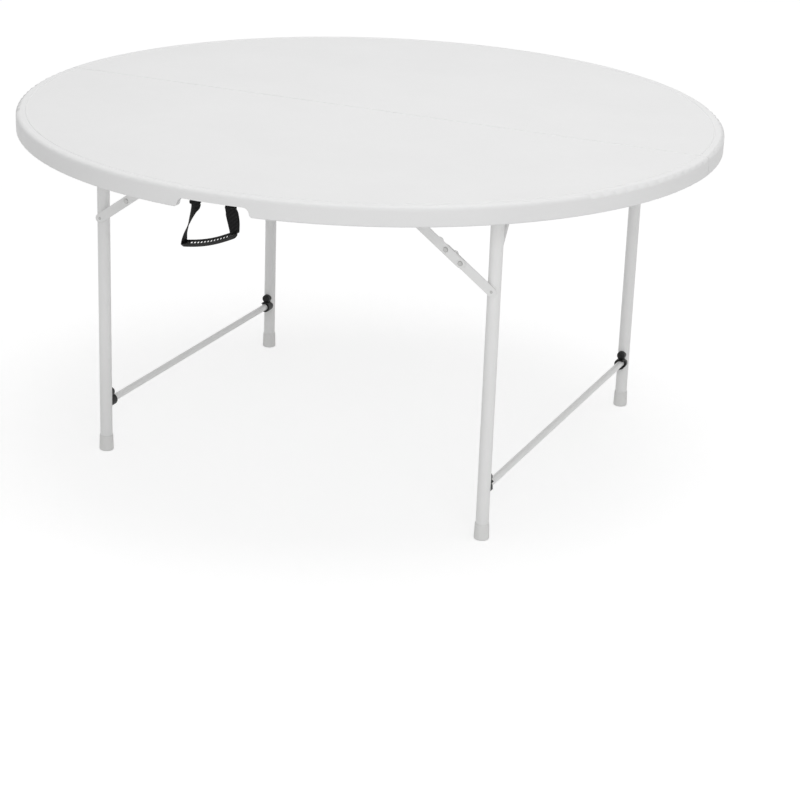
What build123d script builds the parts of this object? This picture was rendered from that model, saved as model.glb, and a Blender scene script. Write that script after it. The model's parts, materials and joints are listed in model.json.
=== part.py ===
from build123d import *
from math import asin, cos, degrees, radians, sin, sqrt, tan
import os

os.makedirs("parts", exist_ok=True)

# Round folding table, standing open on its four legs.
# Origin on the floor under the middle, Z up, X along the seam, near half on the minus Y side.

# Table top, two moulded halves
table_diameter = 1524.0
table_height = 744.0
apron_depth = 40.0
panel_thickness = 20.0
pocket_roof = 10.0
rim_width = 14.0
seam_gap = 2.0
top_edge_radius = 9.0
seam_edge_radius = 1.5
rim_edge_radius = 2.0
rim_line_inset = 20.0
rim_line_width = 3.0
rim_line_height = 0.8
rim_line_slope = 45.0

# Flutes that stiffen the underside
flute_width = 22.0
flute_depth = 8.0
flute_pitch = 110.0
flute_count = 11
outer_flute_count = 5
flute_end_gap = 16.0

# Hand notch in the apron and its handle
notch_width = 152.0
notch_depth = 19.0
notch_corner_radius = 13.0
notch_lip_radius = 8.0
notch_shift = 22.0
strap_width = 24.0
strap_thickness = 2.0
strap_spacing = 90.0
strap_drop = 58.0
strap_eye_radius = 3.0
anchor_length = 26.0
anchor_thickness = 2.5
grip_length = 116.0
grip_height = 8.0
grip_depth = 20.0
grip_sag = 7.0
grip_rib_pitch = 9.0
grip_rib_width = 3.0
grip_rib_height = 1.0

# Leg frames, one narrow pair on the left and one wide pair on the right
leg_tube = 27.0
leg_wall = 1.5
narrow_leg_reach = 440.0
wide_leg_reach = 474.0
wide_half_span = 435.0
leg_side_gap = 17.0
leg_roof_gap = 1.5
leg_crown = 4.0
pivot_tube = 20.0
pivot_reach = 130.0
pivot_outer_end = 1.5
brace_tube = 10.0
brace_drop = 136.0
brace_reach = 92.0

# Foot caps
foot_floor = 5.0
foot_height = 35.0
foot_bottom_diameter = 32.0
foot_top_diameter = 29.6
foot_edge_radius = 3.0

# Clamps that hold each pivot tube under the top
clamp_length = 18.0
clamp_wall = 3.0
clamp_wing = 13.0
clamp_wing_thickness = 4.0
clamp_inner_place = 116.0
clamp_outer_place = 30.0

# Crossbars and their clips
bar_tube = 15.0
bar_wall = 1.2
bar_height = 110.0
clip_wall = 5.0
clip_base = 3.0
clip_length = 11.0
clip_saddle = 7.0
boss_radius = 9.5
boss_rise = 20.0
boss_length = 9.0
boss_round = 5.0
boss_neck_width = 15.2

# Folding stays, a lower and an upper link each
stay_slope_angle = 36.0
stay_leg_drop = 185.0
lower_link_length = 122.5
link_width = 20.0
link_thickness = 2.5
link_overlap = 40.0
link_bump_radius = 8.0
link_bump_rise = 3.0
bracket_length = 52.0
bracket_thickness = 2.5
bracket_base_thickness = 2.0

# Hinges under the seam
hinge_place = 520.0
hinge_length = 80.0
hinge_leaf_thickness = 2.0
knuckle_diameter = 8.0
hinge_pin = 4.0
knuckle_share = 0.3

# Fasteners
rivet_shank = 6.0
rivet_head_radius = 5.5
rivet_head_height = 2.0
rivet_flush_rise = 0.4
rivet_head_slope = 25.0
screw_head_radius = 4.2
screw_head_height = 1.8
screw_head_edge = 0.6
screw_shank = 3.8

# Clearances and one overrun for all cuts
fit = 0.1
hole_clear = 0.2
face_gap = 0.3
link_gap = 0.6
bar_clear = 0.3
overrun = 5.0

# Places worked out from the sizes above
top_radius = table_diameter / 2
leg_radius = leg_tube / 2
apron_bottom = table_height - apron_depth
panel_floor = table_height - panel_thickness
pocket_floor = table_height - pocket_roof
pivot_height = pocket_floor - leg_roof_gap - leg_radius
narrow_half_span = wide_half_span - leg_tube - leg_side_gap
rim_inner = top_radius - rim_width
seam_face = seam_gap / 2
bracket_reach = stay_leg_drop / tan(radians(stay_slope_angle))
stay_length = sqrt(bracket_reach ** 2 + stay_leg_drop ** 2)
upper_link_length = stay_length - lower_link_length
pocket_margin = link_width + 2 * rim_width
pocket_outer = wide_half_span + leg_radius + pocket_margin / 2
pocket_inner = narrow_half_span - pivot_reach - clamp_length
pocket_left = narrow_leg_reach + pocket_margin
pocket_right = wide_leg_reach + pocket_margin
eye_y = -(top_radius - rim_width / 2)
eye_height = apron_bottom + notch_depth - strap_eye_radius - face_gap

LEFT = (-narrow_leg_reach, -narrow_half_span, 1, "left")
RIGHT = (wide_leg_reach, -wide_half_span, -1, "right")


def facing_far(x, y, z):
    """A plane that looks along plus Y, with its own Y axis upright."""
    return Plane(origin=(x, y, z), x_dir=(-1, 0, 0), z_dir=(0, 1, 0))


def facing_near(x, y, z):
    """A plane that looks along minus Y, with X to its right and its own Y axis upright."""
    return Plane(origin=(x, y, z), x_dir=(1, 0, 0), z_dir=(0, -1, 0))


def keep(piece, label):
    """Name a finished piece and write its file."""
    piece.label = label
    export_step(piece, "parts/" + label + ".step")


def keep_pair(piece, stem):
    """Write a piece of the near half, and its mirror image on the far half."""
    with BuildPart() as far_piece:
        mirror(piece, about=Plane.XZ)
    keep(piece, stem + "_near")
    keep(far_piece.part, stem + "_far")


# Top half: half disc with a rounded edge, a deep apron, a leg pocket and flutes below
recess_back = -seam_face - rim_width
flute_length = pocket_inner + recess_back - 2 * flute_end_gap
flute_middle = (recess_back - pocket_inner) / 2
outer_flute_length = rim_inner - pocket_outer - flute_width - 4 * flute_end_gap
outer_flute_middle = -(pocket_outer + flute_end_gap + outer_flute_length / 2)

with BuildPart() as top_half:
    with BuildSketch(Plane.XY.offset(apron_bottom)):
        Circle(top_radius)
        with Locations((0, -seam_face)):
            Rectangle(table_diameter, table_diameter, align=(Align.CENTER, Align.MIN), mode=Mode.SUBTRACT)
    extrude(amount=apron_depth)
    seam_edges = top_half.edges().filter_by(Axis.X).sort_by(Axis.Z)
    chamfer(seam_edges[-1], length=seam_edge_radius)
    outer_edges = top_half.edges().filter_by(GeomType.CIRCLE).sort_by(Axis.Z)
    fillet(outer_edges[-1], radius=top_edge_radius)
    outer_edges = top_half.edges().filter_by(GeomType.CIRCLE).sort_by(Axis.Z)
    fillet(outer_edges[0], radius=rim_edge_radius)
    with BuildSketch(Plane.XY.offset(table_height)):
        Circle(top_radius - rim_line_inset)
        Circle(top_radius - rim_line_inset - rim_line_width, mode=Mode.SUBTRACT)
        with Locations((0, -seam_face - seam_edge_radius)):
            Rectangle(table_diameter, table_diameter, align=(Align.CENTER, Align.MIN), mode=Mode.SUBTRACT)
    extrude(amount=rim_line_height, taper=rim_line_slope)
    with BuildSketch(Plane.XY.offset(apron_bottom)):
        Circle(rim_inner)
        with Locations((0, recess_back)):
            Rectangle(table_diameter, table_diameter, align=(Align.CENTER, Align.MIN), mode=Mode.SUBTRACT)
    extrude(amount=apron_depth - panel_thickness, mode=Mode.SUBTRACT)
    with BuildSketch(Plane.XY.offset(apron_bottom)):
        with Locations(((pocket_right - pocket_left) / 2, -(pocket_outer + pocket_inner) / 2)):
            RectangleRounded(pocket_left + pocket_right, pocket_outer - pocket_inner, pocket_margin / 2)
    extrude(amount=apron_depth - pocket_roof, mode=Mode.SUBTRACT)
    with BuildSketch(Plane.XY.offset(panel_floor)):
        with Locations((0, flute_middle)):
            with GridLocations(flute_pitch, flute_pitch, flute_count, 1):
                SlotOverall(flute_length, flute_width, rotation=90)
        with Locations((0, outer_flute_middle)):
            with GridLocations(flute_pitch, flute_pitch, outer_flute_count, 1):
                SlotOverall(outer_flute_length, flute_width, rotation=90)
    extrude(amount=flute_depth, mode=Mode.SUBTRACT)
    with BuildSketch(facing_near(notch_shift, -rim_inner + rim_width, apron_bottom)) as notch:
        Rectangle(notch_width, 2 * notch_depth)
        fillet(notch.vertices(), radius=notch_corner_radius)
        Rectangle(notch_width + 2 * notch_lip_radius, 2 * notch_lip_radius)
        for way in (-1, 1):
            with Locations((way * (notch_width / 2 + notch_lip_radius), notch_lip_radius)):
                Circle(notch_lip_radius, mode=Mode.SUBTRACT)
    extrude(amount=2 * rim_width + overrun, mode=Mode.SUBTRACT)

keep_pair(top_half.part, "top_half")


# Seam hinges: two leaves and a pin each, barrels just under the two seam walls
barrel_height = apron_bottom - knuckle_diameter / 2
leaf_middle = -(seam_face + rim_width) / 2
outer_knuckle = hinge_length * knuckle_share
middle_knuckle = hinge_length - 2 * outer_knuckle - 2 * face_gap
barrel_room = knuckle_diameter + 2 * face_gap
hinge_screw_place = hinge_length / 4
leaf_screw_y = -rim_width + screw_head_radius + face_gap


def make_leaf(x, barrels):
    """A hinge leaf of the near half: a plate under the seam wall with barrels along the seam."""
    with BuildPart() as leaf:
        with Locations((x, leaf_middle, apron_bottom)):
            Box(
                hinge_length, rim_width - seam_face, hinge_leaf_thickness,
                align=(Align.CENTER, Align.CENTER, Align.MAX),
            )
        for way in (-1, 1):
            with Locations((x + way * hinge_screw_place, leaf_screw_y, apron_bottom)):
                Cylinder((screw_shank + hole_clear) / 2, 2 * overrun, mode=Mode.SUBTRACT)
        with Locations((x, 0, barrel_height)):
            Box(hinge_length, barrel_room, barrel_room, mode=Mode.SUBTRACT)
        for place, length in barrels:
            with BuildSketch(Plane.YZ.offset(x + place - length / 2)):
                with Locations((0, barrel_height)):
                    Circle(knuckle_diameter / 2)
                with Locations((0, apron_bottom)):
                    Rectangle(
                        knuckle_diameter / 2 + 2 * face_gap, hinge_leaf_thickness,
                        align=(Align.MAX, Align.MAX),
                    )
            extrude(amount=length)
        with Locations((x, 0, barrel_height)):
            Cylinder(
                (hinge_pin + hole_clear) / 2, 2 * hinge_length,
                rotation=(0, 90, 0), mode=Mode.SUBTRACT,
            )
    return leaf.part


outer_barrels = []
for way in (-1, 1):
    outer_barrels.append((way * (hinge_length - outer_knuckle) / 2, outer_knuckle))

for x, name in ((-hinge_place, "left"), (hinge_place, "right")):
    keep(make_leaf(x, outer_barrels), "seam_hinge_leaf_" + name + "_near")
    with BuildPart() as far_leaf:
        mirror(make_leaf(x, [(0, middle_knuckle)]), about=Plane.XZ)
    keep(far_leaf.part, "seam_hinge_leaf_" + name + "_far")

with BuildPart() as seam_hinge_pins:
    with Locations((-hinge_place, 0, barrel_height), (hinge_place, 0, barrel_height)):
        Cylinder(hinge_pin / 2, hinge_length, rotation=(0, 90, 0))

keep(seam_hinge_pins.part, "seam_hinge_pins")


# Legs: an upright tube with a pivot tube across its head and a brace between the two
bar_reach = clip_base + face_gap
rivet_height = pivot_height - stay_leg_drop


def make_leg(x, y):
    """A leg of the near half, its tubes welded into one piece."""
    with BuildPart() as leg:
        with BuildSketch(Plane.XY.offset(foot_floor)):
            with Locations((x, y)):
                Circle(leg_radius)
        extrude(amount=pivot_height + leg_crown - foot_floor)
        chamfer(leg.edges().filter_by(GeomType.CIRCLE).sort_by(Axis.Z)[-1], length=leg_wall)
        with BuildSketch(facing_far(x, y - leg_radius - pivot_outer_end, pivot_height)):
            Circle(pivot_tube / 2)
        extrude(amount=leg_radius + pivot_outer_end + pivot_reach)
        brace = Plane(
            origin=(x, y, pivot_height - brace_drop),
            x_dir=(1, 0, 0),
            z_dir=(0, brace_reach, brace_drop),
        )
        with BuildSketch(brace):
            Circle(brace_tube / 2)
        extrude(amount=sqrt(brace_reach ** 2 + brace_drop ** 2))
        with BuildSketch(Plane.XY.offset(foot_floor)):
            with Locations((x, y)):
                Circle(leg_radius - leg_wall)
        extrude(amount=pivot_height - foot_floor - pivot_tube, mode=Mode.SUBTRACT)
        with Locations((x, y, rivet_height)):
            Cylinder((rivet_shank + hole_clear) / 2, 2 * leg_tube, rotation=(90, 0, 0), mode=Mode.SUBTRACT)
    return leg.part


def make_foot_cap(x, y):
    """A foot cap: a flared plastic cup pushed over the end of the leg."""
    with BuildPart() as cap:
        with BuildSketch(Plane.XY):
            with Locations((x, y)):
                Circle(foot_bottom_diameter / 2)
        flare = degrees(asin((foot_bottom_diameter - foot_top_diameter) / 2 / foot_height))
        extrude(amount=foot_height, taper=flare)
        fillet(cap.edges().filter_by(GeomType.CIRCLE).sort_by(Axis.Z)[0], radius=foot_edge_radius)
        with BuildSketch(Plane.XY.offset(foot_floor)):
            with Locations((x, y)):
                Circle(leg_radius + fit)
        extrude(amount=foot_height, mode=Mode.SUBTRACT)
    return cap.part


# Pivot clamps: an arched saddle round the pivot tube with a wing each side, screwed up under the pocket
clamp_wing_reach = pivot_tube / 2 + clamp_wall + clamp_wing
clamp_screw_reach = clamp_wing_reach - clamp_wing / 2


def make_clamps(x, y):
    """The two clamps of one leg of the near half."""
    with BuildPart() as clamps:
        for place in (clamp_outer_place, clamp_inner_place):
            with BuildSketch(facing_far(x, y + place - clamp_length / 2, pivot_height)):
                Circle(pivot_tube / 2 + clamp_wall)
                with Locations((0, (pocket_floor - pivot_height) / 2)):
                    Rectangle(pivot_tube + 2 * clamp_wall, pocket_floor - pivot_height)
                with Locations((0, pocket_floor - pivot_height)):
                    Rectangle(
                        2 * clamp_wing_reach, clamp_wing_thickness,
                        align=(Align.CENTER, Align.MAX),
                    )
                Circle(pivot_tube / 2 + fit, mode=Mode.SUBTRACT)
            extrude(amount=clamp_length)
            screw_spots = []
            for way in (-1, 1):
                screw_spots.append((x + way * clamp_screw_reach, y + place, pocket_floor))
            with Locations(*screw_spots):
                Cylinder((screw_shank + hole_clear) / 2, 2 * overrun, mode=Mode.SUBTRACT)
    return clamps.part


# Bar clips: a saddle on the leg, a round boss, and below it a cup that is open to the outside
clip_radius = bar_tube / 2 + bar_clear + clip_wall


def make_clip(x, y, inward):
    """The clip of one leg of the near half. Inward is the X direction to the middle of the table."""
    with BuildPart() as clip:
        with BuildSketch(facing_far(x, y + leg_radius - clip_saddle, bar_height)):
            Circle(clip_radius)
            with Locations((0, boss_rise / 2)):
                Rectangle(boss_neck_width, boss_rise)
            with Locations((0, boss_rise)):
                Circle(boss_radius)
        extrude(amount=clip_saddle + clip_base)
        with Locations((x, y, bar_height)):
            Cylinder(leg_radius, 2 * (boss_rise + clip_radius + overrun), mode=Mode.SUBTRACT)
        with BuildSketch(facing_far(x, y + leg_radius + clip_base, bar_height)):
            with Locations((0, boss_rise)):
                Circle(boss_radius)
        extrude(amount=boss_length)
        fillet(clip.edges().filter_by(GeomType.CIRCLE).sort_by(Axis.Y)[-1], radius=boss_round)
        with BuildSketch(facing_far(x, y + leg_radius + clip_base, bar_height)):
            Circle(clip_radius)
            Circle(bar_tube / 2 + bar_clear, mode=Mode.SUBTRACT)
            with Locations((inward * clip_radius, 0)):
                Rectangle(2 * clip_radius, bar_tube + 2 * bar_clear, mode=Mode.SUBTRACT)
        extrude(amount=clip_length)
    return clip.part


# Folding stays: flat steel links beside the outer face of the leg
slope = radians(stay_slope_angle)
stay_plane_rise = sin(slope)
stay_plane_run = cos(slope)
link_bump_place = link_width / 2 + link_bump_rise - link_bump_radius
lower_link_reach = leg_radius + link_gap
upper_link_reach = lower_link_reach + link_thickness + link_gap
inner_ear_reach = upper_link_reach - face_gap - bracket_thickness
pin_length = 2 * bracket_thickness + link_thickness + 2 * face_gap
bracket_width = pin_length
bracket_middle_reach = inner_ear_reach + bracket_width / 2
bracket_screw_reach = bracket_length / 2 - screw_head_radius - face_gap


def link_plane(x, y, z, inward):
    """A plane that looks along minus Y with its X axis up the stay, from the leg to the top."""
    return Plane(origin=(x, y, z), x_dir=(inward * stay_plane_run, 0, stay_plane_rise), z_dir=(0, -1, 0))


def make_lower_link(x, y, inward):
    """The lower link, from the leg's rivet to the joint of the stay."""
    with BuildPart() as link:
        with BuildSketch(link_plane(x, y - lower_link_reach, rivet_height, inward)):
            with Locations((lower_link_length / 2, 0)):
                SlotCenterToCenter(lower_link_length, link_width)
            with Locations((lower_link_length - link_overlap / 2, inward * link_bump_place)):
                Circle(link_bump_radius)
            Circle((rivet_shank + hole_clear) / 2, mode=Mode.SUBTRACT)
        extrude(amount=link_thickness)
    return link.part


def make_upper_link(x, y, inward):
    """The upper link, from past the stay's joint to the bracket under the top."""
    with BuildPart() as link:
        with BuildSketch(link_plane(x, y - upper_link_reach, rivet_height, inward)):
            with Locations((stay_length - (upper_link_length + link_overlap) / 2, 0)):
                SlotCenterToCenter(upper_link_length + link_overlap, link_width)
            with Locations((lower_link_length + link_overlap / 2, inward * link_bump_place)):
                Circle(link_bump_radius)
            with Locations((lower_link_length - link_overlap, 0), (lower_link_length, 0), (stay_length, 0)):
                Circle((rivet_shank + hole_clear) / 2, mode=Mode.SUBTRACT)
        extrude(amount=link_thickness)
    return link.part


def make_stay_bracket(x, y, inward):
    """The bracket of a stay: a base plate with two ears that hold the upper link between them."""
    inner_ear = y - inner_ear_reach
    outer_ear = inner_ear - bracket_width + bracket_thickness
    place = x + inward * bracket_reach
    with BuildPart() as bracket:
        for face in (inner_ear, outer_ear):
            with BuildSketch(facing_near(place, face, pivot_height)):
                Circle(link_width / 2)
                Rectangle(link_width, pocket_floor - pivot_height, align=(Align.CENTER, Align.MIN))
                Circle((rivet_shank + hole_clear) / 2, mode=Mode.SUBTRACT)
            extrude(amount=bracket_thickness)
        with Locations((place, inner_ear, pocket_floor)):
            Box(
                bracket_length, bracket_width, bracket_base_thickness,
                align=(Align.CENTER, Align.MAX, Align.MAX),
            )
        for way in (-1, 1):
            with Locations((place + way * bracket_screw_reach, y - bracket_middle_reach, pocket_floor)):
                Cylinder((screw_shank + hole_clear) / 2, 2 * overrun, mode=Mode.SUBTRACT)
    return bracket.part


def make_joint_rivets(x, y, inward):
    """The joint rivet and the stop rivet of a stay, both held in the upper link."""
    back = y - upper_link_reach + hole_clear
    with BuildPart() as rivets:
        with BuildSketch(link_plane(x, back, rivet_height, inward)):
            with Locations((lower_link_length - link_overlap, 0), (lower_link_length, 0)):
                Circle(rivet_shank / 2)
        extrude(amount=link_thickness + hole_clear)
        with BuildSketch(link_plane(x, back - link_thickness - hole_clear, rivet_height, inward)):
            with Locations((lower_link_length - link_overlap, 0), (lower_link_length, 0)):
                Circle(rivet_head_radius)
        extrude(amount=rivet_head_height, taper=rivet_head_slope)
    return rivets.part


def make_leg_rivet(x, y):
    """The rivet that pins a lower link to its leg, nearly flush on the outside."""
    with BuildPart() as rivet:
        with BuildSketch(facing_near(x, y + leg_radius, rivet_height)):
            Circle(rivet_shank / 2)
        extrude(amount=leg_tube + link_gap + link_thickness + rivet_flush_rise)
        with BuildSketch(facing_far(x, y + leg_radius, rivet_height)):
            Circle(rivet_head_radius)
        extrude(amount=rivet_head_height)
    return rivet.part


def make_stay_pin(x, y, inward):
    """The pin of a stay bracket, headed on its outer side only."""
    inner_ear = y - inner_ear_reach
    place = x + inward * bracket_reach
    with BuildPart() as pin:
        with BuildSketch(facing_near(place, inner_ear, pivot_height)):
            Circle(rivet_shank / 2)
        extrude(amount=pin_length)
        with BuildSketch(facing_near(place, inner_ear - pin_length, pivot_height)):
            Circle(rivet_head_radius)
        extrude(amount=rivet_head_height, taper=rivet_head_slope)
    return pin.part


pins = []
for x, y, inward, name in (LEFT, RIGHT):
    keep_pair(make_leg(x, y), "leg_" + name)
    keep_pair(make_foot_cap(x, y), "foot_cap_" + name)
    keep_pair(make_clamps(x, y), "pivot_clamps_" + name)
    keep_pair(make_clip(x, y, inward), "bar_clip_" + name)
    keep_pair(make_lower_link(x, y, inward), "stay_lower_link_" + name)
    keep_pair(make_upper_link(x, y, inward), "stay_upper_link_" + name)
    keep_pair(make_stay_bracket(x, y, inward), "stay_bracket_" + name)
    keep_pair(make_joint_rivets(x, y, inward), "stay_joint_rivets_" + name)
    pins.append(make_stay_pin(x, y, inward))
    with BuildPart() as leg_rivets:
        add(make_leg_rivet(x, y))
        mirror(make_leg_rivet(x, y), about=Plane.XZ)
    keep(leg_rivets.part, "leg_rivets_" + name)
    bar_end = -y - leg_radius - bar_reach
    with BuildPart() as crossbar:
        with BuildSketch(facing_far(x, -bar_end, bar_height)):
            Circle(bar_tube / 2)
            Circle(bar_tube / 2 - bar_wall, mode=Mode.SUBTRACT)
        extrude(amount=2 * bar_end)
    keep(crossbar.part, "crossbar_" + name)

with BuildPart() as stay_pins:
    for pin in pins:
        add(pin)
        mirror(pin, about=Plane.XZ)

keep(stay_pins.part, "stay_pins")


# Handle: two straps that hang from eyes in the notch, joined by a ribbed grip
notch_roof = apron_bottom + notch_depth
strap_outer_reach = notch_shift + (strap_spacing + strap_width) / 2
anchor_front = -sqrt(rim_inner ** 2 - strap_outer_reach ** 2) + face_gap
anchor_screw_y = anchor_front + anchor_length / 2
strap_places = (notch_shift - strap_spacing / 2, notch_shift + strap_spacing / 2)
grip_top = eye_height - strap_drop

with BuildPart() as handle_anchors:
    for x in strap_places:
        with Locations((x, anchor_front, panel_floor)):
            Box(strap_width, anchor_length, anchor_thickness, align=(Align.CENTER, Align.MIN, Align.MAX))
        with Locations((x, anchor_screw_y, panel_floor)):
            Cylinder((screw_shank + hole_clear) / 2, 2 * overrun, mode=Mode.SUBTRACT)
        with BuildSketch(Plane.YZ.offset(x - strap_width / 2)):
            with Locations((eye_y, eye_height)):
                Circle(strap_eye_radius)
            with Locations((eye_y, panel_floor - anchor_thickness)):
                Rectangle(
                    rim_width, notch_roof - face_gap - panel_floor + anchor_thickness,
                    align=(Align.MIN, Align.MIN),
                )
        extrude(amount=strap_width)

keep_pair(handle_anchors.part, "handle_anchors")

with BuildPart() as handle_straps:
    for x in strap_places:
        with BuildSketch(Plane.XY.offset(eye_height - strap_eye_radius - face_gap)):
            with Locations((x, eye_y)):
                Rectangle(strap_width, strap_thickness)
        extrude(amount=-(strap_drop - strap_eye_radius - face_gap))

keep_pair(handle_straps.part, "handle_straps")

rib_count = int((strap_spacing - strap_width) / grip_rib_pitch)
rib_length = grip_depth - 2 * rim_edge_radius

with BuildPart() as handle_grip:
    with BuildSketch(facing_near(notch_shift, eye_y + grip_depth / 2, grip_top)):
        with BuildLine():
            upper = ThreePointArc((-grip_length / 2, 0), (0, -grip_sag), (grip_length / 2, 0))
            side = Line(upper @ 1, (grip_length / 2, -grip_height))
            lower = ThreePointArc(side @ 1, (0, -grip_height - grip_sag), (-grip_length / 2, -grip_height))
            Line(lower @ 1, upper @ 0)
        make_face()
    extrude(amount=grip_depth)
    chamfer(handle_grip.edges().filter_by(Axis.Y), length=rim_edge_radius)
    with Locations((notch_shift, eye_y, grip_top - grip_sag)):
        with GridLocations(grip_rib_pitch, grip_rib_pitch, rib_count, 1):
            Box(grip_rib_width, rib_length, 2 * grip_rib_height)
    for x in strap_places:
        with Locations((x, eye_y, grip_top)):
            Box(strap_width + 2 * face_gap, strap_thickness + 2 * face_gap, 2 * face_gap, mode=Mode.SUBTRACT)

keep_pair(handle_grip.part, "handle_grip")


# Screws: one pan head screw at every hole of the clamps, brackets, leaves and anchors
def screw_at(x, y, seat, plate):
    """A screw in a plate whose upper face is at seat and whose thickness is plate."""
    with BuildPart() as screw:
        with BuildSketch(Plane.XY.offset(seat - plate)):
            with Locations((x, y)):
                Circle(screw_shank / 2)
        extrude(amount=plate)
        with BuildSketch(Plane.XY.offset(seat - plate - screw_head_height)):
            with Locations((x, y)):
                Circle(screw_head_radius)
        extrude(amount=screw_head_height)
        chamfer(screw.edges().filter_by(GeomType.CIRCLE).sort_by(Axis.Z)[0], length=screw_head_edge)
    return screw.part


screws = []
for x, y, inward, name in (LEFT, RIGHT):
    for place in (clamp_outer_place, clamp_inner_place):
        for way in (-1, 1):
            spot = x + way * clamp_screw_reach
            screws.append(screw_at(spot, y + place, pocket_floor, clamp_wing_thickness))
    for way in (-1, 1):
        spot = x + inward * bracket_reach + way * bracket_screw_reach
        screws.append(screw_at(spot, y - bracket_middle_reach, pocket_floor, bracket_base_thickness))
for x in (-hinge_place, hinge_place):
    for way in (-1, 1):
        spot = x + way * hinge_screw_place
        screws.append(screw_at(spot, leaf_screw_y, apron_bottom, hinge_leaf_thickness))
for x in strap_places:
    screws.append(screw_at(x, anchor_screw_y, panel_floor, anchor_thickness))

with BuildPart() as underside_screws:
    for screw in screws:
        add(screw)
        mirror(screw, about=Plane.XZ)

keep(underside_screws.part, "underside_screws")
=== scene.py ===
"""Round folding table: a white moulded top in two halves on four folding steel legs.

Everything is in metres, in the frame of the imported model: floor at zero, X along the seam.
"""

import json
from math import cos, pi, radians, sin

import bmesh
import bpy
from mathutils import Matrix, Vector


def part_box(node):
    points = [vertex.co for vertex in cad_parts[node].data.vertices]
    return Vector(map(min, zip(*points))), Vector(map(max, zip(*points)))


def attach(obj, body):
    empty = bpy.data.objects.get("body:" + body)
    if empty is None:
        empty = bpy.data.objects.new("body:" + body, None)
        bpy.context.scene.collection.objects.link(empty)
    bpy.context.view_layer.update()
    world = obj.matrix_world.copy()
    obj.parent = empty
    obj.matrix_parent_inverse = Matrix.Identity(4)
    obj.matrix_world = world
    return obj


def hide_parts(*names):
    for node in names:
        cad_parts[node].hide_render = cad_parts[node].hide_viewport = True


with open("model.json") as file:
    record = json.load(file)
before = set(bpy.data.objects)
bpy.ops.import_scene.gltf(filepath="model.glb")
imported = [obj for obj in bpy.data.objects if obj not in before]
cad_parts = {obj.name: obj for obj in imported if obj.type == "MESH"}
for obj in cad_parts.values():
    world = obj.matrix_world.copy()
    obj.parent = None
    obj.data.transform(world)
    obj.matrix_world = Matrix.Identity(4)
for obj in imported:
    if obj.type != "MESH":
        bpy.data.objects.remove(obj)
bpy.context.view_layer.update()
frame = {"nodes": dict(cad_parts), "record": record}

# The body of both halves, and which way each half's edge lies along Y
TOP = "top"
SIDES = {"near": -1, "far": 1}

# Points nearer than this are merged
DOUBLES_WITHIN = 1e-6

# Webbing of the handles. The eye is the swing axis, and the panel floor the underside of the top
STRAP_WIDTH = 0.024
STRAP_THICKNESS = 0.0014
STRAP_ROUND_SEGMENTS = 20
STRAP_FLATNESS = 0.35
STRAP_EDGE_FLATNESS = 0.6
STRAP_STATIONS = 44
EYE = Vector((0.0, 0.755, 0.7197))
PANEL_FLOOR = 0.724

# Tabs that hold the straps: a flat run under the panel, a neck, and a loop round the eye
ANCHOR_THICKNESS = 0.0024
ANCHOR_REACH = 0.026
ANCHOR_GAP = 0.0001
ANCHOR_STRAIGHT = 0.010
ANCHOR_STATIONS = 70
NECK_BEFORE_EYE = 0.0075
NECK_DROP = 0.0004
NECK_THICKNESS = 0.0020
LOOP_RADIUS = 0.0011
LOOP_THICKNESS = 0.0012
LOOP_TURN = radians(300)
LOOP_STEPS = 10

# Grip of the handles, as it hangs: lower at its left end
GRIP_LEFT = Vector((-0.0440, 0.757, 0.6350))
GRIP_RIGHT = Vector((0.0745, 0.757, 0.6715))
GRIP_SAG = 0.0068
GRIP_ROLLS = (radians(15), radians(25))
GRIP_STEPS = 40
GRIP_END_STEPS = 5
RAIL_START_STEP = 2
GRIP_EDGE_RADIUS = 0.0007
GRIP_EDGE_SEGMENTS = 2
GRIP_RIBS = 13
RIB_SIDES = 14
RIB_LENGTH = 0.0124
RIB_RADIUS = 0.0013
RIB_HEIGHT_SHARE = 1.2

# How far the straps hang to the right of their plain solids, as the photograph has them
STRAP_SHIFTS = (0.007, -0.007)

# How a strap leaves its loop: share of the wrap's reach outwards, and height above the eye
WRAP_WAY = ((1.0, 0.0002), (0.9, -0.0018), (0.4, -0.0052))

# The left strap's way down: right of its eye, outwards, height and turn in degrees
LEFT_STRAP_WAY = (
    (-0.0004, 0.0006, 0.7105, 14),
    (-0.0030, 0.0010, 0.7040, 34),
    (-0.0080, 0.0014, 0.6910, 49),
    (-0.0125, 0.0018, 0.6780, 59),
    (-0.0170, 0.0020, 0.6650, 73),
    (-0.0210, 0.0020, 0.6530, 80),
)
# Its end in the grip: right of the grip's end, outwards, height above that end and turn
LEFT_STRAP_END = ((0.0050, 0.0020, 0.0060, 88), (0.0046, 0.0020, -0.0010, 90))

# The right strap's way down: share of its way to the grip, outwards, height and turn in degrees
RIGHT_STRAP_WAY = (
    (0.18, 0.0008, 0.7105, -12),
    (0.42, 0.0014, 0.7040, -30),
    (0.78, 0.0020, 0.6900, -50),
    (0.97, 0.0020, 0.6765, -66),
    (1.00, 0.0020, GRIP_RIGHT.z - 0.0020, -72),
)
RIGHT_STRAP_INSET = 0.0050

# Sections of the grip's rails: outwards from the middle line, and upwards
OUTER_RAIL = (
    (0.0046, -0.0034), (0.0051, -0.0046), (0.0064, -0.0052), (0.0077, -0.0050), (0.0084, -0.0038),
    (0.0084, 0.0011), (0.0077, 0.0021), (0.0064, 0.0022), (0.0051, 0.0018), (0.0046, 0.0010),
)
INNER_RAIL = tuple((-wide, deep) for wide, deep in (
    (0.0046, -0.0010), (0.0051, -0.0018), (0.0064, -0.0022), (0.0077, -0.0021), (0.0084, -0.0011),
    (0.0084, 0.0011), (0.0077, 0.0021), (0.0064, 0.0022), (0.0051, 0.0018), (0.0046, 0.0010),
))
END_SECTION = INNER_RAIL[1:-1] + OUTER_RAIL[-2:0:-1]
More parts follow.
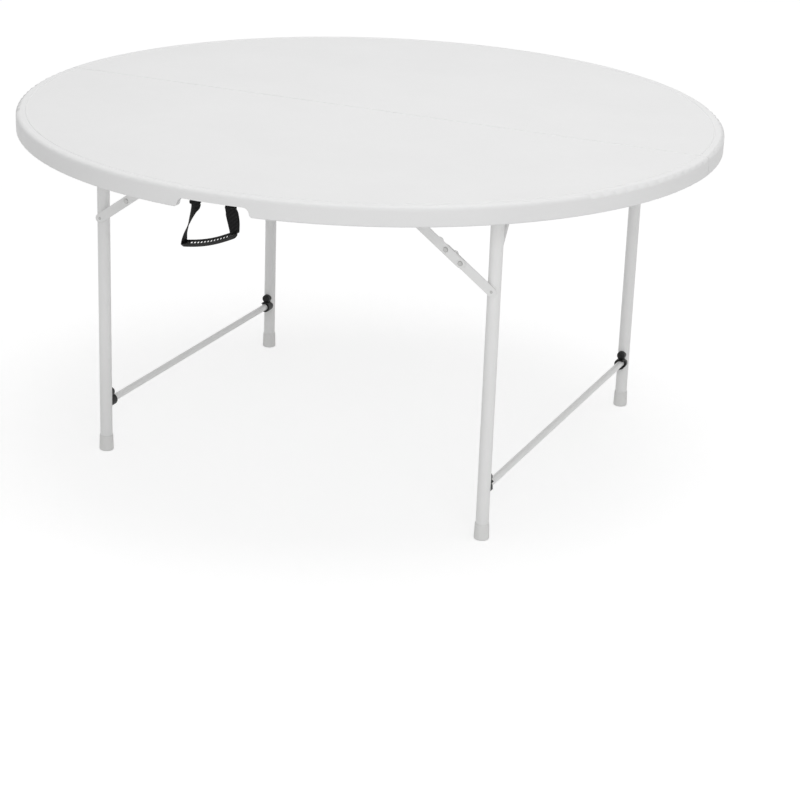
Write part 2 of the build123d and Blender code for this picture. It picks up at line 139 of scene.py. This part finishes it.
# How far the section is drawn in at the very ends, by steps from the end
GRIP_END_SHARES = {0: 0.55, 1: 0.85, 2: 0.97}

# Screws under the top: the head's shape as share of its radius and rise above its lowest point
SCREW_HEAD_RADIUS = 0.0042
SCREW_HEAD_HEIGHT = 0.0018
SCREW_SEGMENTS = 24
SCREW_HEAD_SHAPE = (
    (0.15, 0.00085), (0.30, 0.0004), (0.52, 0.0001),
    (0.80, 0.0004), (0.97, 0.0011), (1.0, SCREW_HEAD_HEIGHT),
)
CROSS_REACH = 0.6
CROSS_DEPTH = 0.0009
CROSS_MIDDLE = 0.0016
PLACE_DIGITS = 4


# Finishes: scales in features per metre, depths in metres

# The part of a noise pattern that its colours and its roughness are spread over
NOISE_RANGE = (0.3, 0.7)
DRIFT_SCALE = 5.0
DRIFT_DETAIL = 4.0
PATCH_SCALE = 38.0
PATCH_DETAIL = 5.0
FINE_ROUGHNESS = 0.6
WAVE_DETAIL = 2.0
WAVE_STRENGTH = 0.5
GRAIN_STRENGTH = 0.6

WEAVE_PITCHES = (("X", 0.0016), ("Y", 0.0024), ("DIAGONAL", 0.0034))
WEAVE_SCALE_TIMES_PITCH = 0.314
WEAVE_DISTORTION = 0.4
WEAVE_COLOURS = ((0.003, 0.003, 0.003), (0.012, 0.012, 0.012))
WEAVE_COLOUR_RANGE = (0.2, 1.0)
WEAVE_STRENGTH = 0.7
WEAVE_DEPTH = 0.0005
FUZZ_SCALE = 900.0
FUZZ_STRENGTH = 0.4
FUZZ_DEPTH = 0.0002
WEBBING_ROUGHNESS = (0.62, 0.86)
WEBBING_SHEEN = 0.15


def start_finish(name):
    """A new material, with its node tree, its shader and its Object coordinates."""
    finish = bpy.data.materials.new(name)
    finish.use_nodes = True
    tree = finish.node_tree
    shader = tree.nodes["Principled BSDF"]
    place = tree.nodes.new("ShaderNodeTexCoord")
    return finish, tree, shader, place


def add_noise(tree, vector, scale, detail=3.0, roughness=0.5):
    """A noise pattern on the given coordinates, scale in features per metre."""
    noise = tree.nodes.new("ShaderNodeTexNoise")
    noise.inputs["Scale"].default_value = scale
    noise.inputs["Detail"].default_value = detail
    noise.inputs["Roughness"].default_value = roughness
    tree.links.new(vector, noise.inputs["Vector"])
    return noise.outputs["Fac"]


def add_ramp(tree, value, colours, span=NOISE_RANGE):
    """A colour ramp over the span of a value."""
    ramp = tree.nodes.new("ShaderNodeValToRGB")
    for stop, position, colour in zip(ramp.color_ramp.elements, span, colours):
        stop.position = position
        stop.color = (*colour, 1.0)
    tree.links.new(value, ramp.inputs["Fac"])
    return ramp.outputs["Color"]


def add_range(tree, value, results):
    """A noise pattern spread over the range of results."""
    spread = tree.nodes.new("ShaderNodeMapRange")
    spread.inputs["From Min"].default_value = NOISE_RANGE[0]
    spread.inputs["From Max"].default_value = NOISE_RANGE[1]
    spread.inputs["To Min"].default_value, spread.inputs["To Max"].default_value = results
    tree.links.new(value, spread.inputs["Value"])
    return spread.outputs["Result"]


def add_bump(tree, height, strength, distance, before=None):
    """A bump of a height pattern, on top of an earlier one."""
    bump = tree.nodes.new("ShaderNodeBump")
    bump.inputs["Strength"].default_value = strength
    bump.inputs["Distance"].default_value = distance
    tree.links.new(height, bump.inputs["Height"])
    if before is not None:
        tree.links.new(before, bump.inputs["Normal"])
    return bump.outputs["Normal"]


def moulded_finish(name, colours, roughness, grain, wave, metallic=0.0):
    """A moulded, coated or plated surface. Grain and wave are each a scale and a depth."""
    finish, tree, shader, place = start_finish(name)
    spot = place.outputs["Object"]
    drift = add_noise(tree, spot, DRIFT_SCALE, DRIFT_DETAIL)
    tree.links.new(add_ramp(tree, drift, colours), shader.inputs["Base Color"])
    patch = add_noise(tree, spot, PATCH_SCALE, PATCH_DETAIL, FINE_ROUGHNESS)
    tree.links.new(add_range(tree, patch, roughness), shader.inputs["Roughness"])
    soft = add_noise(tree, spot, wave[0], WAVE_DETAIL)
    fine = add_noise(tree, spot, grain[0], roughness=FINE_ROUGHNESS)
    waved = add_bump(tree, soft, WAVE_STRENGTH, wave[1])
    tree.links.new(add_bump(tree, fine, GRAIN_STRENGTH, grain[1], waved), shader.inputs["Normal"])
    shader.inputs["Metallic"].default_value = metallic
    return finish, shader


def webbing_finish():
    """Black woven webbing: ribs across and along the strap, from its own UV map in metres."""
    finish, tree, shader, place = start_finish("black_webbing")
    spot = place.outputs["UV"]
    weaves = []
    for direction, pitch in WEAVE_PITCHES:
        wave = tree.nodes.new("ShaderNodeTexWave")
        wave.bands_direction = direction
        wave.inputs["Scale"].default_value = WEAVE_SCALE_TIMES_PITCH / pitch
        wave.inputs["Distortion"].default_value = WEAVE_DISTORTION
        wave.inputs["Detail"].default_value = 1.0
        tree.links.new(spot, wave.inputs["Vector"])
        weaves.append(wave.outputs["Fac"])
    rib = tree.nodes.new("ShaderNodeMath")
    rib.operation = "MULTIPLY"
    tree.links.new(weaves[0], rib.inputs[0])
    tree.links.new(weaves[1], rib.inputs[1])
    twill = tree.nodes.new("ShaderNodeMath")
    twill.operation = "ADD"
    tree.links.new(rib.outputs["Value"], twill.inputs[0])
    tree.links.new(weaves[2], twill.inputs[1])
    height = twill.outputs["Value"]
    colour = add_ramp(tree, height, WEAVE_COLOURS, WEAVE_COLOUR_RANGE)
    tree.links.new(colour, shader.inputs["Base Color"])
    fuzz = add_noise(tree, spot, FUZZ_SCALE)
    tree.links.new(add_range(tree, fuzz, WEBBING_ROUGHNESS), shader.inputs["Roughness"])
    weave = add_bump(tree, height, WEAVE_STRENGTH, WEAVE_DEPTH)
    fuzzy = add_bump(tree, fuzz, FUZZ_STRENGTH, FUZZ_DEPTH, weave)
    tree.links.new(fuzzy, shader.inputs["Normal"])
    shader.inputs["Specular IOR Level"].default_value = WEBBING_SHEEN
    return finish


white_top, white_top_shader = moulded_finish(
    "white_moulded_top", colours=((0.790, 0.790, 0.790), (0.806, 0.806, 0.806)),
    roughness=(0.46, 0.54), grain=(620.0, 0.00020), wave=(9.0, 0.00015))
white_top_shader.inputs["Specular IOR Level"].default_value = 0.30
white_steel, white_steel_shader = moulded_finish(
    "white_powder_coat", colours=((0.79, 0.79, 0.785), (0.82, 0.82, 0.815)),
    roughness=(0.30, 0.44), grain=(850.0, 0.00010), wave=(60.0, 0.00006))
white_steel_shader.inputs["Coat Weight"].default_value = 0.15
white_foot, _ = moulded_finish(
    "white_foot_cap", colours=((0.72, 0.72, 0.71), (0.78, 0.78, 0.77)),
    roughness=(0.45, 0.6), grain=(500.0, 0.00015), wave=(80.0, 0.0001))
black_moulded, black_shader = moulded_finish(
    "black_moulded", colours=((0.004, 0.004, 0.004), (0.009, 0.009, 0.009)),
    roughness=(0.34, 0.5), grain=(700.0, 0.0002), wave=(90.0, 0.0001))
black_shader.inputs["Specular IOR Level"].default_value = 0.3
plated_steel, _ = moulded_finish(
    "plated_steel", colours=((0.43, 0.43, 0.425), (0.55, 0.55, 0.54)),
    roughness=(0.24, 0.40), grain=(420.0, 0.00006), wave=(120.0, 0.00004), metallic=1.0)
black_webbing = webbing_finish()

SLOT_FINISHES = {
    "top_plastic": white_top,
    "white_steel": white_steel,
    "foot_plastic": white_foot,
    "black_plastic": black_moulded,
    "webbing": black_webbing,
    "bare_steel": plated_steel,
}

for part in frame["record"]["subparts"]:
    node = frame["nodes"][part["node"]]
    for slot in node.material_slots:
        slot.material = SLOT_FINISHES[part["material_slot"]]


# Piece helpers

def add_piece(name, mesh, finish, slot, body, *nodes):
    """Put a finished mesh in the scene on its body, standing for the given nodes."""
    piece = bpy.data.objects.new(name, mesh)
    bpy.context.scene.collection.objects.link(piece)
    mesh.materials.clear()
    mesh.materials.append(finish)
    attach(piece, body)
    if nodes:
        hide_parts(*nodes)
    return piece


def smooth_path(points, steps):
    """Points of a smooth line through the given ones, each a tuple of floats."""
    path = []
    last = len(points) - 1
    for step in range(steps + 1):
        along = step / steps * last
        index = min(int(along), last - 1)
        share = along - index
        before = points[max(index - 1, 0)]
        start, end = points[index], points[index + 1]
        after = points[min(index + 2, last)]
        path.append(tuple(
            0.5 * (2 * b + (c - a) * share + (2 * a - 5 * b + 4 * c - d) * share ** 2
                   + (3 * b - a - 3 * c + d) * share ** 3)
            for a, b, c, d in zip(before, start, end, after)
        ))
    return path


def loft(mesh, rings, across):
    """Close a tube of rings with caps. The UV map is the place across and along, in metres."""
    uv = mesh.loops.layers.uv.verify()
    rows = [[mesh.verts.new(spot) for spot in ring] for ring in rings]
    count = len(rings[0])
    along = [0.0]
    for one, two in zip(rings, rings[1:]):
        along.append(along[-1] + (sum(two, Vector()) - sum(one, Vector())).length / count)
    for row in range(len(rows) - 1):
        for turn in range(count):
            after = (turn + 1) % count
            lower, upper = rows[row], rows[row + 1]
            face = mesh.faces.new((lower[turn], lower[after], upper[after], upper[turn]))
            face.smooth = True
            places = (
                (across[turn], along[row]), (across[after], along[row]),
                (across[after], along[row + 1]), (across[turn], along[row + 1]),
            )
            for corner, place in zip(face.loops, places):
                corner[uv].uv = place
    for row, length in ((rows[0], along[0]), (rows[-1], along[-1])):
        cap = mesh.faces.new(row)
        for corner, place in zip(cap.loops, across):
            corner[uv].uv = (place, length)


def webbing_rings(stations):
    """Rings of a flat strap. A station is x, y, z, the turn of its width and its thickness."""
    rings = []
    for number, (x, y, z, turn, thickness) in enumerate(stations):
        before = Vector(stations[max(number - 1, 0)][:3])
        after = Vector(stations[min(number + 1, len(stations) - 1)][:3])
        tangent = (after - before).normalized()
        wide = Vector((cos(turn), sin(turn), 0.0))
        wide = (wide - tangent * wide.dot(tangent)).normalized()
        thick = tangent.cross(wide)
        ring = []
        for part in range(STRAP_ROUND_SEGMENTS):
            angle = 2 * pi * part / STRAP_ROUND_SEGMENTS
            flat = abs(cos(angle)) ** STRAP_FLATNESS * (1 if cos(angle) >= 0 else -1)
            deep = abs(sin(angle)) ** STRAP_EDGE_FLATNESS * (1 if sin(angle) >= 0 else -1)
            across, through = wide * flat * STRAP_WIDTH / 2, thick * deep * thickness / 2
            ring.append(Vector((x, y, z)) + across + through)
        rings.append(ring)
    return rings


ACROSS_STRAP = [
    STRAP_WIDTH / 2 * cos(2 * pi * part / STRAP_ROUND_SEGMENTS)
    for part in range(STRAP_ROUND_SEGMENTS)
]


def finish_mesh(mesh, name):
    """Merge doubles, face outwards and return plain mesh data."""
    bmesh.ops.remove_doubles(mesh, verts=mesh.verts, dist=DOUBLES_WITHIN)
    bmesh.ops.recalc_face_normals(mesh, faces=mesh.faces)
    data = bpy.data.meshes.new(name)
    mesh.to_mesh(data)
    mesh.free()
    return data


# Geometry Nodes: repeated small shapes

def new_tree(name, inputs):
    """A Geometry Nodes tree with a geometry input and named sizes, and its two end nodes."""
    tree = bpy.data.node_groups.new(name, "GeometryNodeTree")
    tree.interface.new_socket("Geometry", in_out="INPUT", socket_type="NodeSocketGeometry")
    for label, kind in inputs:
        tree.interface.new_socket(label, in_out="INPUT", socket_type=kind)
    tree.interface.new_socket("Geometry", in_out="OUTPUT", socket_type="NodeSocketGeometry")
    return tree, tree.nodes.new("NodeGroupInput"), tree.nodes.new("NodeGroupOutput")


def end_tree(tree, instances, out, finish):
    """Realize the instances and give them their finish."""
    real = tree.nodes.new("GeometryNodeRealizeInstances")
    paint = tree.nodes.new("GeometryNodeSetMaterial")
    paint.inputs["Material"].default_value = finish
    tree.links.new(instances, real.inputs["Geometry"])
    tree.links.new(real.outputs["Geometry"], paint.inputs["Geometry"])
    tree.links.new(paint.outputs["Geometry"], out.inputs["Geometry"])


def grow(name, mesh, tree, sizes):
    """The plain mesh that a tree makes from a mesh, with its sizes set by name."""
    carrier = bpy.data.objects.new(name + "_carrier", mesh)
    bpy.context.scene.collection.objects.link(carrier)
    modifier = carrier.modifiers.new("grow", "NODES")
    modifier.node_group = tree
    for item in tree.interface.items_tree:
        if item.in_out == "INPUT" and item.name in sizes:
            modifier[item.identifier] = sizes[item.name]
    bpy.context.view_layer.update()
    ready = carrier.evaluated_get(bpy.context.evaluated_depsgraph_get())
    made = bpy.data.meshes.new_from_object(ready)
    made.name = name
    bpy.data.objects.remove(carrier)
    return made


def rib_tree():
    """Small round bars across a path, evenly spread, for the ladder pattern of the grip."""
    tree, start, out = new_tree("grip_ribs", (
        ("Ribs", "NodeSocketInt"), ("Length", "NodeSocketFloat"), ("Radius", "NodeSocketFloat"),
        ("Height Share", "NodeSocketFloat"), ("Roll", "NodeSocketFloat"),
    ))
    path = tree.nodes.new("GeometryNodeMeshToCurve")
    spread = tree.nodes.new("GeometryNodeResampleCurve")
    bar = tree.nodes.new("GeometryNodeMeshCylinder")
    bar.inputs["Vertices"].default_value = RIB_SIDES
    tall = tree.nodes.new("ShaderNodeCombineXYZ")
    tall.inputs["X"].default_value = 1.0
    tall.inputs["Z"].default_value = 1.0
    lay = tree.nodes.new("GeometryNodeTransform")
    tip = tree.nodes.new("ShaderNodeCombineXYZ")
    tipped = tree.nodes.new("FunctionNodeEulerToRotation")
    tangent = tree.nodes.new("GeometryNodeInputTangent")
    turn = tree.nodes.new("FunctionNodeAlignEulerToVector")
    turn.axis = "X"
    turn.pivot_axis = "Y"
    place = tree.nodes.new("GeometryNodeInstanceOnPoints")
    link = tree.links.new
    link(start.outputs["Geometry"], path.inputs["Mesh"])
    link(path.outputs["Curve"], spread.inputs["Curve"])
    link(start.outputs["Ribs"], spread.inputs["Count"])
    link(start.outputs["Length"], bar.inputs["Depth"])
    link(start.outputs["Radius"], bar.inputs["Radius"])
    link(start.outputs["Height Share"], tall.inputs["Y"])
    link(bar.outputs["Mesh"], lay.inputs["Geometry"])
    link(tall.outputs["Vector"], lay.inputs["Scale"])
    link(start.outputs["Roll"], tip.inputs["X"])
    link(tip.outputs["Vector"], tipped.inputs["Euler"])
    link(tipped.outputs["Rotation"], lay.inputs["Rotation"])
    link(spread.outputs["Curve"], place.inputs["Points"])
    link(lay.outputs["Geometry"], place.inputs["Instance"])
    link(tangent.outputs["Tangent"], turn.inputs["Vector"])
    link(turn.outputs["Rotation"], place.inputs["Rotation"])
    end_tree(tree, place.outputs["Instances"], out, black_moulded)
    return tree


def screw_tree():
    """Pan heads with a cross recess, one at each point, facing down."""
    tree, start, out = new_tree("pan_head_screws", (("Head", "NodeSocketObject"),))
    head = tree.nodes.new("GeometryNodeObjectInfo")
    place = tree.nodes.new("GeometryNodeInstanceOnPoints")
    link = tree.links.new
    link(start.outputs["Head"], head.inputs["Object"])
    link(start.outputs["Geometry"], place.inputs["Points"])
    link(head.outputs["Geometry"], place.inputs["Instance"])
    end_tree(tree, place.outputs["Instances"], out, plated_steel)
    return tree


# Handles: webbing anchors, straps and a ribbed grip

def grip_line():
    """The middle line of the grip, sagging between its ends."""
    line = []
    for step in range(GRIP_STEPS + 1):
        share = step / GRIP_STEPS
        spot = GRIP_LEFT.lerp(GRIP_RIGHT, share)
        spot.z -= GRIP_SAG * sin(pi * share)
        line.append(spot)
    return line


def grip_rings(line, side, section, first, last):
    """Rings of a section along part of the grip's line, rolled so that its outer edge is lower."""
    outward = Vector((0.0, side, 0.0))
    rings = []
    for number in range(first, last + 1):
        before, after = line[max(number - 1, 0)], line[min(number + 1, GRIP_STEPS)]
        tangent = (after - before).normalized()
        upward = Vector((-tangent.z, 0.0, tangent.x))
        roll = GRIP_ROLLS[0] + (GRIP_ROLLS[1] - GRIP_ROLLS[0]) * number / GRIP_STEPS
        wide_way = outward * cos(roll) - upward * sin(roll)
        deep_way = outward * sin(roll) + upward * cos(roll)
        share = GRIP_END_SHARES.get(min(number, GRIP_STEPS - number), 1.0)
        middle = Vector((line[number].x, side * line[number].y, line[number].z))
        rings.append([
            middle + (wide_way * wide + deep_way * deep) * share for wide, deep in section
        ])
    return rings


def make_grip(name, side, body, node):
    """The grip: a ladder of two rails and round ribs between two solid ends."""
    line = grip_line()
    mesh = bmesh.new()
    for section in (OUTER_RAIL, INNER_RAIL):
        rings = grip_rings(line, side, section, RAIL_START_STEP, GRIP_STEPS - RAIL_START_STEP)
        loft(mesh, rings, [wide for wide, _ in section])
    for first, last in ((0, GRIP_END_STEPS), (GRIP_STEPS - GRIP_END_STEPS, GRIP_STEPS)):
        rings = grip_rings(line, side, END_SECTION, first, last)
        loft(mesh, rings, [wide for wide, _ in END_SECTION])
    grip = add_piece(name, finish_mesh(mesh, name), black_moulded, "black_plastic", body, node)
    bevel = grip.modifiers.new("soft edges", "BEVEL")
    bevel.width = GRIP_EDGE_RADIUS
    bevel.segments = GRIP_EDGE_SEGMENTS
    bevel.limit_method = "ANGLE"
    wire = bpy.data.meshes.new(name + "_path")
    inner = line[GRIP_END_STEPS + 1:-GRIP_END_STEPS - 1]
    spots = [Vector((spot.x, side * spot.y, spot.z)) for spot in inner]
    wire.from_pydata(spots, [(number, number + 1) for number in range(len(spots) - 1)], [])
    ribs = grow(name + "_ribs", wire, RIBS, {
        "Ribs": GRIP_RIBS, "Length": RIB_LENGTH, "Radius": RIB_RADIUS,
        "Height Share": RIB_HEIGHT_SHARE, "Roll": pi / 2 - side * sum(GRIP_ROLLS) / 2,
    })
    add_piece(name + "_ribs", ribs, black_moulded, "black_plastic", body)


def strap_stations(rows, side):
    """Smooth stations of a strap from rows of x, y, z and turn in degrees."""
    return smooth_path([
        (x, side * y, z, side * radians(turn), STRAP_THICKNESS) for x, y, z, turn in rows
    ], STRAP_STATIONS)


def make_straps(name, side, body, node, left, right):
    """Two hanging straps: the left one twists on its way down, the right one leans out."""
    wrap = LOOP_RADIUS + (LOOP_THICKNESS + STRAP_THICKNESS) / 2
    left_rows, right_rows = (
        [(x, EYE.y + share * wrap, EYE.z + rise, 0.0) for share, rise in WRAP_WAY]
        for x in (left, right)
    )
    for shift, out, z, turn in LEFT_STRAP_WAY:
        left_rows.append((left + shift, EYE.y + out, z, turn))
    for shift, out, rise, turn in LEFT_STRAP_END:
        left_rows.append((GRIP_LEFT.x + shift, EYE.y + out, GRIP_LEFT.z + rise, turn))
    reach = GRIP_RIGHT.x - RIGHT_STRAP_INSET - right
    for share, out, z, turn in RIGHT_STRAP_WAY:
        right_rows.append((right + share * reach, EYE.y + out, z, turn))
    mesh = bmesh.new()
    for rows in (left_rows, right_rows):
        loft(mesh, webbing_rings(strap_stations(rows, side)), ACROSS_STRAP)
    add_piece(name, finish_mesh(mesh, name), black_webbing, "webbing", body, node)


def make_anchors(name, side, node, places):
    """Webbing tabs that run under the panel into the notch and loop round at the swing axis."""
    low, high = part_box(node)
    inner = min(abs(low.y), abs(high.y))
    flat_z = PANEL_FLOOR - ANCHOR_THICKNESS / 2 - ANCHOR_GAP
    rows = [
        (inner, flat_z, ANCHOR_THICKNESS),
        (inner + ANCHOR_STRAIGHT, flat_z, ANCHOR_THICKNESS),
        (EYE.y - NECK_BEFORE_EYE, flat_z - NECK_DROP, NECK_THICKNESS),
    ]
    for step in range(LOOP_STEPS + 1):
        angle = pi / 2 - LOOP_TURN * step / LOOP_STEPS
        out, rise = LOOP_RADIUS * cos(angle), LOOP_RADIUS * sin(angle)
        rows.append((EYE.y + out, EYE.z + rise, LOOP_THICKNESS))
    mesh = bmesh.new()
    for x in places:
        stations = smooth_path(
            [(x, side * y, z, 0.0, thickness) for y, z, thickness in rows], ANCHOR_STATIONS)
        loft(mesh, webbing_rings(stations), ACROSS_STRAP)
    add_piece(name, finish_mesh(mesh, name), black_webbing, "webbing", TOP, node)


RIBS = rib_tree()
for end, side in SIDES.items():
    strap_low, strap_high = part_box("handle_straps_" + end)
    solid_straps = (strap_low[0] + STRAP_WIDTH / 2, strap_high[0] - STRAP_WIDTH / 2)
    strap_places = [place + shift for place, shift in zip(solid_straps, STRAP_SHIFTS)]
    body = "handle_" + end
    make_anchors("handle_webbing_anchors_" + end, side, "handle_anchors_" + end, strap_places)
    make_straps("handle_webbing_straps_" + end, side, body, "handle_straps_" + end, *strap_places)
    make_grip("handle_ribbed_grip_" + end, side, body, "handle_grip_" + end)


# Screws under the top

def solid_places(node):
    """The middle and the lowest height of each separate solid in a node."""
    mesh = bmesh.new()
    mesh.from_mesh(frame["nodes"][node].data)
    bmesh.ops.remove_doubles(mesh, verts=mesh.verts, dist=DOUBLES_WITHIN)
    seen = set()
    places = []
    for first in mesh.verts:
        if first in seen:
            continue
        seen.add(first)
        waiting, group = [first], []
        while waiting:
            vert = waiting.pop()
            group.append(vert.co.copy())
            for edge in vert.link_edges:
                other = edge.other_vert(vert)
                if other not in seen:
                    seen.add(other)
                    waiting.append(other)
        ways = [[spot[axis] for spot in group] for axis in range(3)]
        middle = [(min(way) + max(way)) / 2 for way in ways[:2]]
        places.append(Vector((*middle, min(ways[2]))))
    mesh.free()
    return sorted(places, key=lambda spot: tuple(round(value, PLACE_DIGITS) for value in spot))


def screw_head():
    """A domed pan head with a cross recess, its lowest point at the origin."""
    mesh = bmesh.new()
    quarter = SCREW_SEGMENTS // 4
    rows = []
    for share, rise in SCREW_HEAD_SHAPE:
        ring = []
        for part in range(SCREW_SEGMENTS):
            angle = 2 * pi * part / SCREW_SEGMENTS
            in_cross = part % quarter in (0, 1, quarter - 1)
            cut = CROSS_DEPTH if in_cross and share < CROSS_REACH else 0.0
            radius = SCREW_HEAD_RADIUS * share
            ring.append(mesh.verts.new((radius * cos(angle), radius * sin(angle), rise + cut)))
        rows.append(ring)
    middle = mesh.verts.new((0.0, 0.0, CROSS_MIDDLE))
    for part in range(SCREW_SEGMENTS):
        after = (part + 1) % SCREW_SEGMENTS
        mesh.faces.new((middle, rows[0][after], rows[0][part]))
        for inner, outer in zip(rows, rows[1:]):
            mesh.faces.new((inner[part], inner[after], outer[after], outer[part]))
    mesh.faces.new(rows[-1])
    for face in mesh.faces:
        # Only the flat back of the head has more than four corners
        face.smooth = len(face.verts) < 5
    return finish_mesh(mesh, "screw_head")


head = bpy.data.objects.new("screw_head_shape", screw_head())
bpy.context.scene.collection.objects.link(head)
screw_places = solid_places("underside_screws")
for spot in screw_places:
    for place, shift in zip(solid_straps, STRAP_SHIFTS):
        in_strap = abs(spot.x - place) < STRAP_WIDTH / 2
        if in_strap and abs(spot.y) > EYE.y - STRAP_WIDTH - ANCHOR_REACH:
            spot.x += shift
            break
dots = bpy.data.meshes.new("screw_places")
dots.from_pydata(screw_places, [], [])
screws = grow("pan_head_screws", dots, screw_tree(), {"Head": head})
bpy.data.objects.remove(head)
add_piece("pan_head_screws", screws, plated_steel, "bare_steel", TOP, "underside_screws")


# Floor, light and camera

FLOOR_REACH = 9.0
FLOOR_LEVEL = -0.0004
FLOOR_COLOUR = (0.95, 0.95, 0.95, 1.0)
WHITE = (1.0, 1.0, 1.0, 1.0)

# The floor's own glow near the table, and the distances over which it fades to plain white
FLOOR_GLOW_SHARE = 0.50
FLOOR_GLOW = 1.30
FLOOR_FADE = (2.2, 6.0)

AMBIENT = 0.54
LAMP_SIZE = 3.0

CAMERA_PLACE = Vector((1.9801, -4.3539, 1.8991))
CAMERA_YAW = -0.409
CAMERA_PITCH = 0.3651
CAMERA_ROLL = 0.0372
CAMERA_LENS = 101.15
CAMERA_SENSOR = 36.0


def seen_directly(tree):
    """1 for rays from the camera or through gloss and glass, else 0."""
    rays = tree.nodes.new("ShaderNodeLightPath")
    total = rays.outputs["Is Camera Ray"]
    for other in ("Is Glossy Ray", "Is Transmission Ray"):
        larger = tree.nodes.new("ShaderNodeMath")
        larger.operation = "MAXIMUM"
        tree.links.new(total, larger.inputs[0])
        tree.links.new(rays.outputs[other], larger.inputs[1])
        total = larger.outputs["Value"]
    return total


def make_floor():
    """A pale floor that keeps the shadow of the table and fades to white away from it."""
    mesh = bpy.data.meshes.new("studio_floor")
    corners = [
        (x * FLOOR_REACH, y * FLOOR_REACH, FLOOR_LEVEL)
        for x, y in ((-1, -1), (1, -1), (1, 1), (-1, 1))
    ]
    mesh.from_pydata(corners, [], [(0, 1, 2, 3)])
    floor = bpy.data.objects.new("studio_floor", mesh)
    bpy.context.scene.collection.objects.link(floor)
    finish = bpy.data.materials.new("pale_floor")
    finish.use_nodes = True
    tree = finish.node_tree
    tree.nodes.clear()
    matte = tree.nodes.new("ShaderNodeBsdfDiffuse")
    matte.inputs["Color"].default_value = FLOOR_COLOUR
    glow = tree.nodes.new("ShaderNodeEmission")
    glow.inputs["Color"].default_value = WHITE
    place = tree.nodes.new("ShaderNodeTexCoord")
    away = tree.nodes.new("ShaderNodeVectorMath")
    away.operation = "LENGTH"
    tree.links.new(place.outputs["Object"], away.inputs[0])
    fades = []
    for near_value in (FLOOR_GLOW_SHARE, FLOOR_GLOW):
        fade = tree.nodes.new("ShaderNodeMapRange")
        fade.inputs["From Min"].default_value, fade.inputs["From Max"].default_value = FLOOR_FADE
        fade.inputs["To Min"].default_value = near_value
        fade.inputs["To Max"].default_value = 1.0
        tree.links.new(away.outputs["Value"], fade.inputs["Value"])
        fades.append(fade.outputs["Result"])
    glow_share, glow_strength = fades
    tree.links.new(glow_strength, glow.inputs["Strength"])
    share = tree.nodes.new("ShaderNodeMath")
    share.operation = "MULTIPLY"
    tree.links.new(glow_share, share.inputs[1])
    mix = tree.nodes.new("ShaderNodeMixShader")
    out = tree.nodes.new("ShaderNodeOutputMaterial")
    tree.links.new(seen_directly(tree), share.inputs[0])
    tree.links.new(share.outputs["Value"], mix.inputs["Fac"])
    tree.links.new(matte.outputs["BSDF"], mix.inputs[1])
    tree.links.new(glow.outputs["Emission"], mix.inputs[2])
    tree.links.new(mix.outputs["Shader"], out.inputs["Surface"])
    mesh.materials.append(finish)


def make_world():
    """White where it is seen, and a soft even light everywhere else."""
    world = bpy.data.worlds.new("studio")
    bpy.context.scene.world = world
    world.use_nodes = True
    tree = world.node_tree
    sky = tree.nodes["Background"]
    sky.inputs["Color"].default_value = WHITE
    level = tree.nodes.new("ShaderNodeMapRange")
    level.inputs["To Min"].default_value = AMBIENT
    level.inputs["To Max"].default_value = 1.0
    tree.links.new(seen_directly(tree), level.inputs["Value"])
    tree.links.new(level.outputs["Result"], sky.inputs["Strength"])


def add_lamp(name, place, target, power):
    """A square soft lamp that faces its target."""
    data = bpy.data.lights.new(name, "AREA")
    data.size = LAMP_SIZE
    data.energy = power
    lamp = bpy.data.objects.new(name, data)
    bpy.context.scene.collection.objects.link(lamp)
    lamp.location = place
    lamp.rotation_euler = (Vector(target) - Vector(place)).to_track_quat("-Z", "Y").to_euler()


def make_camera():
    """The camera at the photograph's place and angle."""
    forward = cos(CAMERA_PITCH)
    ahead = Vector((sin(CAMERA_YAW) * forward, cos(CAMERA_YAW) * forward, -sin(CAMERA_PITCH)))
    level = Vector((cos(CAMERA_YAW), -sin(CAMERA_YAW), 0.0))
    upright = level.cross(ahead)
    right = level * cos(CAMERA_ROLL) + upright * sin(CAMERA_ROLL)
    above = upright * cos(CAMERA_ROLL) - level * sin(CAMERA_ROLL)
    data = bpy.data.cameras.new("camera")
    data.lens = CAMERA_LENS
    data.sensor_width = CAMERA_SENSOR
    camera = bpy.data.objects.new("camera", data)
    bpy.context.scene.collection.objects.link(camera)
    turn = Matrix((right, above, -ahead)).transposed().to_4x4()
    camera.matrix_world = Matrix.Translation(CAMERA_PLACE) @ turn
    bpy.context.scene.camera = camera


make_floor()
make_world()
add_lamp("soft_lamp_above", place=(0.3, 0.2, 4.2), target=(0.0, 0.0, 0.6), power=58.0)
add_lamp("soft_lamp_front", place=(2.6, -4.2, 2.4), target=(0.0, 0.0, 0.4), power=54.0)
make_camera()
bpy.context.scene.view_settings.view_transform = "Standard"
